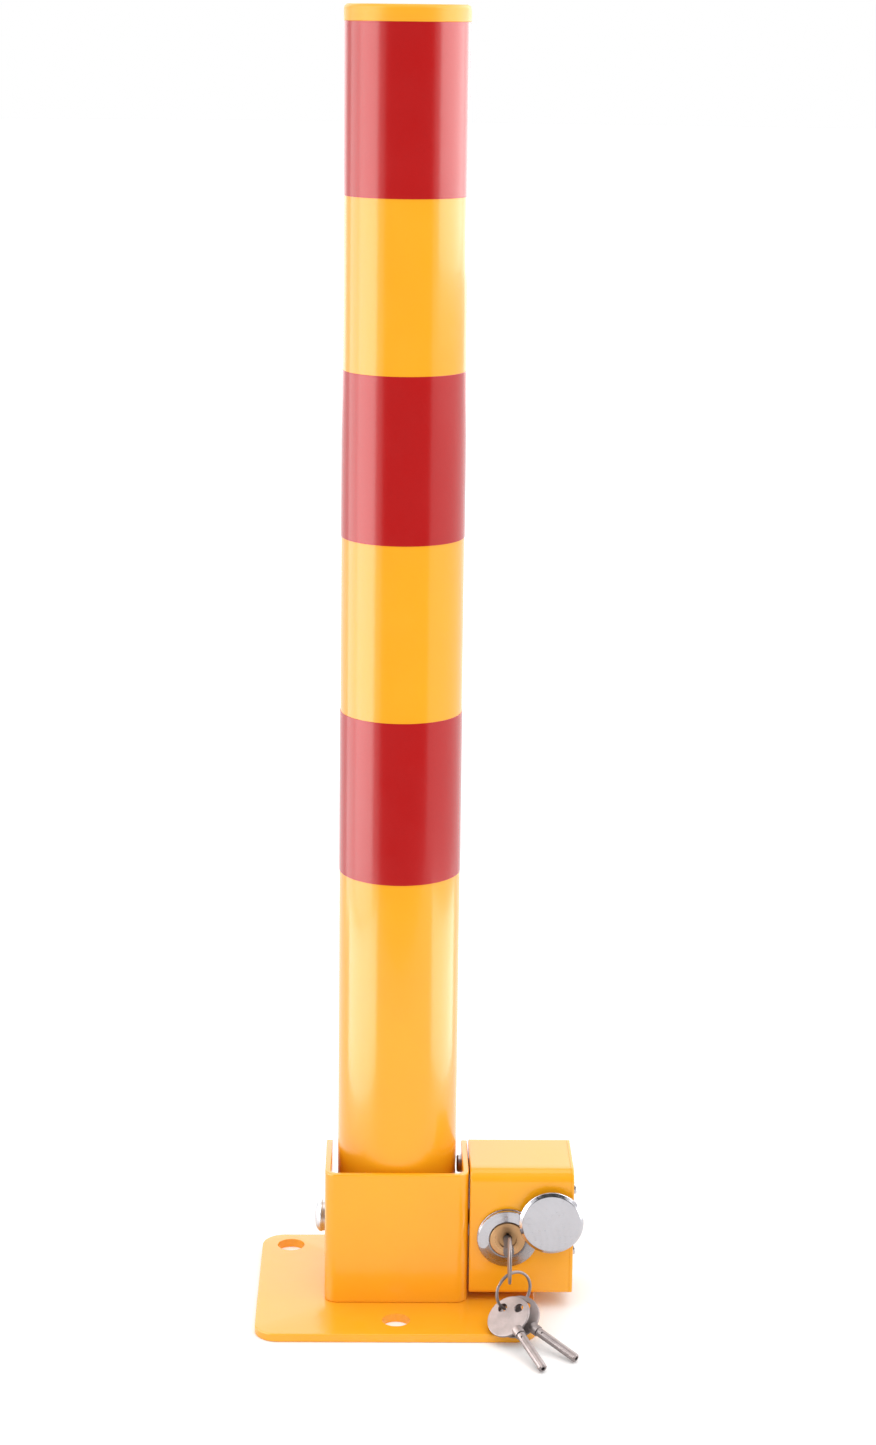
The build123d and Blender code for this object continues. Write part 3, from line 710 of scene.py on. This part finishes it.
class PARKPOST_OT_base_plate(bpy.types.Operator):
    """Make the base plate: a rounded rectangle with soft edges and three anchor holes."""

    bl_idname = "parkpost.base_plate"
    bl_label = "Base plate"

    def execute(self, context):
        """Rows climb from the underside to the top; near both faces the outline shrinks by the
        edge's radius times one minus the sine of the angle round the edge."""
        shape = context.scene.parking_post.shape
        low, high = span("base_plate")
        half, edge, corner = (high - low) / 2, shape.sheet_edge, 11.0 * MM
        tuck = quarter_turn(shape.arc_steps)
        rise = edge * (1 - np.cos(tuck))
        inset = edge * (1 - np.sin(tuck))
        heights = np.concatenate([low[2] + rise, (high[2] - rise)[::-1]])
        insets = np.concatenate([inset, inset[::-1]])
        rows = []
        for height, drawn in zip(heights, insets):
            loop = rounded_section(half[0] - drawn, half[1] - drawn, [corner - drawn] * 4,
                                   2 * shape.arc_steps)
            rows.append(np.column_stack([loop, np.full(len(loop), height)]))
        plate = surface("foot_plate", np.stack(rows))
        mounts = {mount["name"]: mount for mount in frame["record"]["mounts"]}
        front, pair = mounts["anchor_front"], mounts["anchor_back_pair"]
        side = pair["dims"]["spacing_x_mm"] * MM / 2
        radius = pair["dims"]["hole_r_mm"] * MM
        places = [(0.0, front["pos_m"][1]), (-side, pair["pos_m"][1]), (side, pair["pos_m"][1])]
        holes = [drill((x, y, 0), "Z", radius, -high[2], 2 * high[2]) for x, y in places]
        cut(plate, *holes)
        seat(plate, "stand", "yellow_paint", context, "base_plate")
        return {"FINISHED"}


class PARKPOST_OT_bracket(bpy.types.Operator):
    """Make the U bracket from one bent sheet, with softened cut edges."""

    bl_idname = "parkpost.bracket"
    bl_label = "Bracket"

    def execute(self, context):
        """A rounded rectangle, as thick as the sheet and as high as the bracket, is carried along
        the sheet's middle line, a U whose corners are arcs. At both ends it shrinks by the edge's
        radius times one minus the sine of the angle round the edge."""
        shape = context.scene.parking_post.shape
        low, high = span("post_bracket")
        plate_t, inner_bend = 3.0 * MM, 3.0 * MM
        bend = inner_bend + plate_t / 2
        edge = shape.sheet_edge
        mid_x = high[0] - plate_t / 2
        front_y = low[1] + plate_t / 2
        turns_at = [(-mid_x, high[1]), (-mid_x, front_y), (mid_x, front_y), (mid_x, high[1])]
        path = rounded(turns_at, [0, bend, bend, 0], 2 * shape.arc_steps)
        tuck = quarter_turn(shape.arc_steps)
        shrink = edge * (1 - np.sin(tuck))
        left = np.stack([np.full_like(tuck, -mid_x), high[1] - edge * (1 - np.cos(tuck))], axis=-1)
        right = left[::-1] * np.array([-1.0, 1.0])
        centre = np.concatenate([left, path[1:-1], right])
        inset = np.concatenate([shrink, np.zeros(len(path) - 2), shrink[::-1]])
        ahead = np.gradient(centre, axis=0)
        ahead[:len(left)] = (0.0, -1.0)
        ahead[-len(right):] = (0.0, 1.0)
        ahead /= np.linalg.norm(ahead, axis=1, keepdims=True)
        beside = np.stack([ahead[:, 1], -ahead[:, 0]], axis=-1)
        half_t, half_h = plate_t / 2, (high[2] - low[2]) / 2
        loop = rounded_section(half_t, half_h, [edge] * 4, shape.arc_steps)
        keep = 1 - inset[:, None, None] * np.array([1 / half_t, 1 / half_h])
        section = loop[None] * keep
        points = np.zeros((len(centre), len(loop), 3))
        points[..., 0] = centre[:, None, 0] + beside[:, None, 0] * section[..., 0]
        points[..., 1] = centre[:, None, 1] + beside[:, None, 1] * section[..., 0]
        points[..., 2] = (high[2] + low[2]) / 2 + section[..., 1]
        bracket = surface("bent_bracket", points)
        bolt_hole = drill(HINGE, "X", HINGE_HOLE_R, low[0] * 2, high[0] * 2)
        guide_hole = drill(GUIDE_MIDDLE, "X", GUIDE_HOLE_R, 0.0, high[0] * 2)
        cut(bracket, bolt_hole, guide_hole)
        seat(bracket, "stand", "yellow_paint", context, "post_bracket")
        return {"FINISHED"}


def box_section(inset, shape, low, high):
    """The lock box's section across X as a closed loop of (Y, Z), shrunk by the inset."""
    front_bend, other_bend, least = 5.5 * MM, 2.4 * MM, 0.4 * MM
    radii = [max(other_bend - inset, least)] * 4
    radii[3] = max(front_bend - inset, least)
    half = (high - low)[1:] / 2 - inset
    loop = rounded_section(half[0], half[1], radii, shape.arc_steps)
    return loop + (high + low)[1:] / 2


def box_rows(steps, shape, low, high):
    """Rows of the lock box's surface, one for each step of (X, inset, share): the section at
    that inset, with its distance from its middle times the share."""
    rows = []
    for x, inset, share in steps:
        loop = box_section(inset, shape, low, high)
        middle = loop.mean(axis=0)
        loop = middle + (loop - middle) * share
        rows.append(np.column_stack([np.full(len(loop), x), loop]))
    return np.stack(rows)


def flat_end(x, inset):
    """Steps that close a flat end: just inside the section's outline, and near its middle."""
    return [(x, inset, 0.97), (x, inset, 0.02)]


def rounded_end(x, radius, inward, steps):
    """Steps that round an end over and close it. At each angle of a quarter turn the step lies
    inward by the radius times one minus the sine, inset by the radius times one minus the
    cosine."""
    rows = [(x + inward * radius * (1 - math.sin(angle)), radius * (1 - math.cos(angle)), 1.0)
            for angle in quarter_turn(steps)]
    return rows + flat_end(x, radius)


class PARKPOST_OT_lock_box(bpy.types.Operator):
    """Make the lock box from bent sheet, open at its end, and its soft-edged end cover."""

    bl_idname = "parkpost.lock_box"
    bl_label = "Lock box"

    def execute(self, context):
        shape = context.scene.parking_post.shape
        low, high = span("lock_housing")
        wall, edge, mouth_edge = 2.0 * MM, shape.box_edge, 0.1 * MM
        steps = flat_end(low[0] + wall, wall)[::-1]
        steps += [(low[0] + wall, wall, 1.0), (low[0] + 2 * wall, wall, 1.0),
                  (high[0] - 2 * mouth_edge, wall, 1.0), (high[0], wall, 1.0),
                  (high[0], mouth_edge, 1.0), (high[0] - mouth_edge, 0.0, 1.0),
                  (high[0] - 5 * mouth_edge, 0.0, 1.0), (low[0] + edge * 1.5, 0.0, 1.0)]
        steps += rounded_end(low[0], edge, 1, shape.arc_steps)
        box = surface("lock_box", box_rows(steps, shape, low, high))
        barrel_hole = drill(LOCK, "Y", BARREL_HOLE_R, low[1] * 1.2, 0.0)
        mid_x = low[0] + 3 * wall
        bolt_hole = drill(HINGE, "X", HINGE_HOLE_R, 0.0, mid_x)
        guide_hole = drill(GUIDE_MIDDLE, "X", GUIDE_HOLE_R, 0.0, mid_x)
        cut(box, barrel_hole, bolt_hole, guide_hole)
        seat(box, "stand", "yellow_paint", context, "lock_housing")

        low, high = span("housing_end_cover")
        soft, seam = 0.6 * MM, 0.15 * MM
        steps = flat_end(low[0], seam)[::-1]
        steps += [(low[0], seam, 1.0), (low[0] + 0.8 * seam, 0.0, 1.0),
                  (low[0] + 2 * seam, 0.0, 1.0)]
        steps += rounded_end(high[0], soft, -1, shape.arc_steps)
        cover = surface("box_end_cover", box_rows(steps, shape, low, high))
        seat(cover, "stand", "yellow_paint", context, "housing_end_cover")
        return {"FINISHED"}


class PARKPOST_OT_hinge_bolt(bpy.types.Operator):
    """Make the hinge bolt: a domed head, a plain shank and a chamfered end."""

    bl_idname = "parkpost.hinge_bolt"
    bl_label = "Hinge bolt"

    def execute(self, context):
        shape = context.scene.parking_post.shape
        low, high = span("hinge_bolt")
        head_r = (high[2] - low[2]) / 2
        shank_r, head_t, rim_t = 4.0 * MM, 3.8 * MM, 0.7 * MM
        tip, soft, axis_r = 0.6 * MM, 0.2 * MM, 0.2 * MM
        seat_x = low[0] + head_t
        dome = np.linspace(math.radians(4), math.pi / 2, 2 * shape.arc_steps)
        crown = np.column_stack([head_r * np.sin(dome),
                                 seat_x - rim_t - (head_t - rim_t) * np.cos(dome)])
        rim = rounded([crown[-1], (head_r, seat_x), (shank_r, seat_x), (shank_r, high[0] - tip),
                       (shank_r - tip, high[0]), (axis_r, high[0])],
                      [0, 0.3 * MM, soft, soft, soft, 0], shape.arc_steps)
        profile = np.concatenate([crown, rim[1:]])
        bolt = turned("hinge_axle", profile, (0, HINGE[1], HINGE[2]), "X", shape.turns)
        seat(bolt, "stand", "zinc", context, "hinge_bolt")
        return {"FINISHED"}


class PARKPOST_OT_lock_face(bpy.types.Operator):
    """Make the rosette with its sloping rim, the crescent plate on it and the dust cover."""

    bl_idname = "parkpost.lock_face"
    bl_label = "Lock face"

    def execute(self, context):
        shape = context.scene.parking_post.shape
        low, high = span("lock_rosette")
        outer = (high[2] - low[2]) / 2
        bore, pocket, pocket_y = BARREL_HOLE_R, 10.55 * MM, high[1] - 1.1 * MM
        crown, rim_y = 9.3 * MM, low[1] + 1.35 * MM
        corners = [(bore, pocket_y), (bore, low[1]), (crown, low[1]), (outer, rim_y),
                   (outer, high[1]), (pocket, high[1]), (pocket, pocket_y)]
        radii = [0, 0.15 * MM, 2.0 * MM, 0.3 * MM, 0.1 * MM, 0, 0]
        profile = rounded(corners, radii, shape.arc_steps, closed=True)
        rosette = turned("rosette", profile, (LOCK[0], 0, LOCK[2]), "Y", shape.turns, closed=True)
        chrome = context.scene.parking_post.colours.chrome
        satin = tuple(channel * share for channel, share in zip(chrome, (0.82, 0.77, 0.74)))
        # The rosette darkens towards its bore: painted shade.
        dished = bright_metal("rosette_finish", satin, tuple(LOCK), "Y", 0.20, 0.30, outer)
        seat(rosette, "stand", "chrome", context, "lock_rosette", finish=dished)
        self.crescent(context, shape, crown, low[1], outer, rim_y)

        low, high = span("dust_cover")
        middle = (low + high) / 2
        rim = (high[2] - low[2]) / 2
        axis_r, dish, bevel_w, bevel_t = 0.2 * MM, 0.02 * MM, 1.5 * MM, 1.2 * MM
        corners = [(axis_r, low[1] + dish), (rim * 0.6, low[1]), (rim - bevel_w, low[1]),
                   (rim, low[1] + bevel_t), (rim, high[1]), (axis_r, high[1])]
        radii = [0, 3 * MM, 0.5 * MM, 0.45 * MM, 0.25 * MM, 0]
        profile = rounded(corners, radii, shape.arc_steps)
        cover = turned("lock_dust_cover", profile, (middle[0], 0, middle[2]), "Y", shape.turns)
        seat(cover, "cover", "chrome", context, "dust_cover")
        return {"FINISHED"}

    def crescent(self, context, shape, crown, crown_y, outer, rim_y):
        """A plate over the rosette's upper part: a section carried along an arc about the lock.

        Its radius is the arc's middle plus the section's share of a half width, which shrinks
        round both ends as a semicircle does. Its back follows the rosette's cone.
        """
        face_y = span("cover_stop")[0][1]
        inner, rim, sunk = 8.75 * MM, 13.9 * MM, 0.02 * MM
        middle, half = (inner + rim) / 2, (rim - inner) / 2
        first, last, arc_rows = math.radians(24), math.radians(188), 80
        bow = np.linspace(0, math.pi / 2, 3 * shape.arc_steps)[:-1] * 0.999
        beyond = half * np.cos(bow)
        main = np.linspace(first, last, arc_rows)
        angle = np.concatenate([first - beyond / middle, main, (last + beyond / middle)[::-1]])
        width = np.concatenate([np.sin(bow), np.ones(arc_rows), np.sin(bow)[::-1]]) * half
        width = np.maximum(width, 0.02 * half)
        section = [(-1, 0), (1, 0), (1, 1), (-1, 1)]
        loop = rounded(section, [0.1, 0.1, 0, 0], shape.arc_steps, closed=True)
        radius = middle + width[:, None] * loop[None, :, 0]
        back = np.interp(radius, [crown, outer], [crown_y + sunk, rim_y + sunk])
        depth = face_y + loop[None, :, 1] * (back - face_y)
        points = np.stack([LOCK[0] + radius * np.cos(angle)[:, None], depth,
                           LOCK[2] + radius * np.sin(angle)[:, None]], axis=-1)
        seat(surface("crescent_plate", points), "stand", "chrome", context, "cover_stop")


class PARKPOST_OT_latch_spring(bpy.types.Operator):
    """Make the latch's return spring: wire wound in a helix with closed ends."""

    bl_idname = "parkpost.latch_spring"
    bl_label = "Latch spring"

    def execute(self, context):
        """The wire's middle turns about the latch while it moves along X, slowly over the first
        and last turn, and evenly between; its section is a circle."""
        low, high = span("latch_spring")
        wire_r, turns, steps, round_steps = 0.4 * MM, 7.0, 420, 14
        coil_r = (high[2] - low[2]) / 2 - wire_r
        middle = (low + high) / 2
        wind = np.linspace(0, turns, steps)
        start, end = low[0] + wire_r, high[0] - wire_r
        along = np.interp(wind, [0, 1, turns - 1, turns],
                          [start, start + 2 * wire_r, end - 2 * wire_r, end])
        out = np.stack([np.zeros_like(wind), np.cos(wind * TURN), np.sin(wind * TURN)], axis=-1)
        path = np.stack([along, np.full_like(wind, middle[1]), np.full_like(wind, middle[2])],
                        axis=-1) + coil_r * out
        angle = whole_turn(round_steps)
        ahead = np.array([1.0, 0.0, 0.0])
        ring = np.cos(angle)[:, None] * out[:, None] + np.sin(angle)[:, None] * ahead
        spring = surface("return_spring", path[:, None] + wire_r * ring, sharp=80)
        seat(spring, "stand", "spring_steel", context, "latch_spring")
        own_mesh(spring)
        return {"FINISHED"}


class PARKPOST_OT_key_ring(bpy.types.Operator):
    """Make the split ring: flat spring wire wound twice round."""

    bl_idname = "parkpost.key_ring"
    bl_label = "Key ring"

    def execute(self, context):
        """The wire's middle runs twice round a circle and climbs by one wire's height over a
        short stretch; its section is an ellipse, drawn in at both ends of the wire."""
        low, high = span("key_ring")
        centre = (low + high) / 2
        tube_r, wide, thick = 0.65 * MM, 0.62 * MM, 0.31 * MM
        ring_r = (high[2] - low[2]) / 2 - tube_r
        across = (high - low)[:2] - 2 * tube_r
        across = np.array([across[0], across[1], 0.0]) / np.linalg.norm(across)
        up = np.array([0.0, 0.0, 1.0])
        normal = np.cross(across, up)
        steps, round_steps = 360, 16
        wind = np.linspace(0, 2 * TURN, steps)
        start, half_climb = TURN * 0.42, 0.5
        climb = np.clip(wind - TURN + half_climb, 0, 1)
        climb = climb ** 2 * (3 - 2 * climb) - 0.5
        out = across * np.cos(wind + start)[:, None] + up * np.sin(wind + start)[:, None]
        middle = centre + ring_r * out + normal * (climb * tube_r)[:, None]
        ends = np.minimum(wind, 2 * TURN - wind) * ring_r / (tube_r * 0.8)
        draw = np.sqrt(1 - (1 - np.clip(ends, 0.02, 1)) ** 2)[:, None, None]
        angle = whole_turn(round_steps)
        section = (np.cos(angle)[:, None] * wide * out[:, None]
                   + np.sin(angle)[:, None] * thick * normal)
        ring = surface("split_ring", middle[:, None] + section * draw, sharp=80)
        seat(ring, "ring", "key_nickel", context, "key_ring")
        return {"FINISHED"}


class PARKPOST_OT_frame_finishes(bpy.types.Operator):
    """Give every CAD piece that still shows the finish of its record slot."""

    bl_idname = "parkpost.frame_finishes"
    bl_label = "Finishes of the frame"

    def execute(self, context):
        slots = {part["node"]: part["material_slot"] for part in frame["record"]["subparts"]}
        for name, node in frame["nodes"].items():
            if node.hide_render:
                continue
            material = finish_of(slots[name], context)
            if not node.data.materials:
                node.data.materials.append(material)
            for index in range(len(node.data.materials)):
                node.data.materials[index] = material
        return {"FINISHED"}


# ---------------------------------------------------------------- stage

# Name; degrees from the front towards +X; distance; low and high edge; spread in degrees;
# radiance.
SOFT_BOXES = (
    ("left_box", -73, 0.60, 0.00, 1.30, 40, 4.40),
    ("left_back_box", -107, 0.60, 0.00, 1.30, 28, 2.40),
    ("left_near_box", -76, 0.27, 0.00, 0.10, 66, 4.20),
    ("right_box", 92, 0.70, 0.42, 1.40, 60, 4.60),
    ("right_back_box", 137, 0.70, 0.42, 1.40, 30, 2.40),
    ("right_near_box", 96, 0.30, 0.00, 0.10, 62, 3.40),
    ("back_box", 180, 1.50, 0.20, 1.60, 80, 1.15),
)


def soft_box(name, azimuth, distance, low, high, spread, radiance):
    """An upright rectangular light facing the post, seen only in its gloss.

    It stands at a distance in a direction measured from the front towards +X, reaches from the
    low to the high height, and is as wide as twice the distance times the tangent of half its
    spread. Its power is pi times its area times its radiance.
    """
    data = bpy.data.lights.new(name, "AREA")
    data.shape = "RECTANGLE"
    data.size = 2 * distance * math.tan(math.radians(spread) / 2)
    data.size_y = high - low
    data.energy = math.pi * data.size * data.size_y * radiance
    light = bpy.data.objects.new(name, data)
    turn = math.radians(azimuth)
    light.location = (distance * math.sin(turn), -distance * math.cos(turn), (low + high) / 2)
    light.rotation_euler = (math.pi / 2, 0.0, turn)
    light.visible_camera = False
    light.visible_diffuse = False
    bpy.context.scene.collection.objects.link(light)


class PARKPOST_OT_stage(bpy.types.Operator):
    """Set up the pale floor, the soft light and the camera."""

    bl_idname = "parkpost.stage"
    bl_label = "Stage"

    def execute(self, context):
        stage = context.scene.parking_post.stage
        self.floor(stage)
        self.light(context, stage)
        self.camera(context, stage)
        return {"FINISHED"}

    def floor(self, stage):
        """A flat disc with a thickness: rings of growing radius round the origin."""
        hub_r, thickness, drop, steps = 0.05, 0.05, 0.02 * MM, 96
        profile = np.array([[hub_r, 0.0], [0.3, 0.0], [1.0, 0.0], [4.0, 0.0],
                            [stage.floor_r, 0.0], [stage.floor_r, -thickness],
                            [hub_r, -thickness]])
        floor = turned("floor", profile, (0, 0, -drop), "Z", steps)
        made = Finish("floor_paper", Roughness=0.9, Specular_IOR_Level=0.1)
        paper = made.noise(made.place(), 0.6, 3.0)
        made.colour(made.mix(paper, (0.96, 0.96, 0.96), (0.94, 0.94, 0.94)))
        floor.data.materials.append(made.material)

    def light(self, context, stage):
        """White light from all round, a broad soft sun overhead and the boxes seen in gloss."""
        world = bpy.data.worlds.new("studio")
        context.scene.world = world
        world.use_nodes = True
        background = world.node_tree.nodes["Background"]
        background.inputs["Color"].default_value = (1.0, 1.0, 1.0, 1.0)
        background.inputs["Strength"].default_value = stage.sky
        overhead = bpy.data.lights.new("overhead", "SUN")
        overhead.energy = 1.2
        overhead.angle = math.radians(70)
        overhead_light = bpy.data.objects.new("overhead", overhead)
        overhead_light.rotation_euler = (math.radians(12), math.radians(8), 0.0)
        context.scene.collection.objects.link(overhead_light)
        for box in SOFT_BOXES:
            soft_box(*box)
        self.dark_screen()
        context.scene.view_settings.view_transform = "Standard"
        context.scene.view_settings.look = "None"

    def dark_screen(self):
        """A dim upright card in front of the post, seen only in its gloss: a flat grid across
        X and Z, thickened a little so that it is closed."""
        left, right, top, front, back = -0.42, 0.60, 2.0, -0.505, -0.5
        loop = np.array([[left, 0.0], [right, 0.0], [right, top], [left, top]])
        rows = [np.insert(loop, 1, depth, axis=1) for depth in (front, back)]
        card = surface("dark_screen", np.stack(rows))
        made = Finish("dark_card", Roughness=1.0, Specular_IOR_Level=0.0)
        cloth = made.noise(made.place(), 0.3, 2.0)
        made.colour(made.mix(cloth, (0.06, 0.06, 0.06), (0.04, 0.04, 0.04)))
        card.data.materials.append(made.material)
        card.visible_camera = False
        card.visible_diffuse = False
        card.visible_shadow = False

    def camera(self, context, stage):
        """Placed in front of the post, level with its top, looking down at its foot."""
        place = Vector((-0.008944, -1.285726, 0.598968))
        yaw, pitch, roll, shift_up = 0.0194, 0.1954, 0.0122, -0.0986
        ahead = Vector((math.sin(yaw) * math.cos(pitch), math.cos(yaw) * math.cos(pitch),
                        -math.sin(pitch)))
        level = Vector((math.cos(yaw), -math.sin(yaw), 0.0))
        upward = level.cross(ahead)
        across = math.cos(roll) * level + math.sin(roll) * upward
        upright = -math.sin(roll) * level + math.cos(roll) * upward
        data = bpy.data.cameras.new("camera")
        data.lens = stage.lens
        data.sensor_width = 36.0
        data.shift_y = shift_up
        data.clip_start, data.clip_end = 0.01, 100.0
        camera = bpy.data.objects.new("camera", data)
        turn = Matrix((across, upright, -ahead)).transposed()
        camera.matrix_world = Matrix.Translation(place) @ turn.to_4x4()
        context.scene.collection.objects.link(camera)
        context.scene.camera = camera


# ---------------------------------------------------------------- panel and running

OPERATORS = (
    PARKPOST_OT_stage,
    PARKPOST_OT_tube,
    PARKPOST_OT_cap,
    PARKPOST_OT_bands,
    PARKPOST_OT_base_plate,
    PARKPOST_OT_bracket,
    PARKPOST_OT_lock_box,
    PARKPOST_OT_hinge_bolt,
    PARKPOST_OT_lock_face,
    PARKPOST_OT_latch_spring,
    PARKPOST_OT_key_ring,
    PARKPOST_OT_frame_finishes,
)


class PARKPOST_PT_panel(bpy.types.Panel):
    """Lists the settings and the operators that make the parking post."""

    bl_idname = "PARKPOST_PT_panel"
    bl_label = "Parking Post"
    bl_space_type = "VIEW_3D"
    bl_region_type = "UI"
    bl_category = "Parking Post"

    def draw(self, context):
        settings = context.scene.parking_post
        for group in (settings.shape, settings.colours, settings.stage):
            box = self.layout.box()
            for name in group.__annotations__:
                box.prop(group, name)
        for operator in OPERATORS:
            self.layout.operator(operator.bl_idname)


CLASSES = (ParkingPostShape, ParkingPostColours, ParkingPostStage, ParkingPostSettings,
           *OPERATORS, PARKPOST_PT_panel)


def register():
    """Registers every class and hangs the settings on the scene."""
    for each in CLASSES:
        bpy.utils.register_class(each)
    bpy.types.Scene.parking_post = PointerProperty(type=ParkingPostSettings)


def unregister():
    """Takes the settings and every class away again."""
    del bpy.types.Scene.parking_post
    for each in reversed(CLASSES):
        bpy.utils.unregister_class(each)


def main():
    """Registers the add-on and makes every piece."""
    register()
    for operator in OPERATORS:
        getattr(bpy.ops.parkpost, operator.bl_idname.split(".")[1])()
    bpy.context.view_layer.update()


if __name__ == "__main__":
    main()
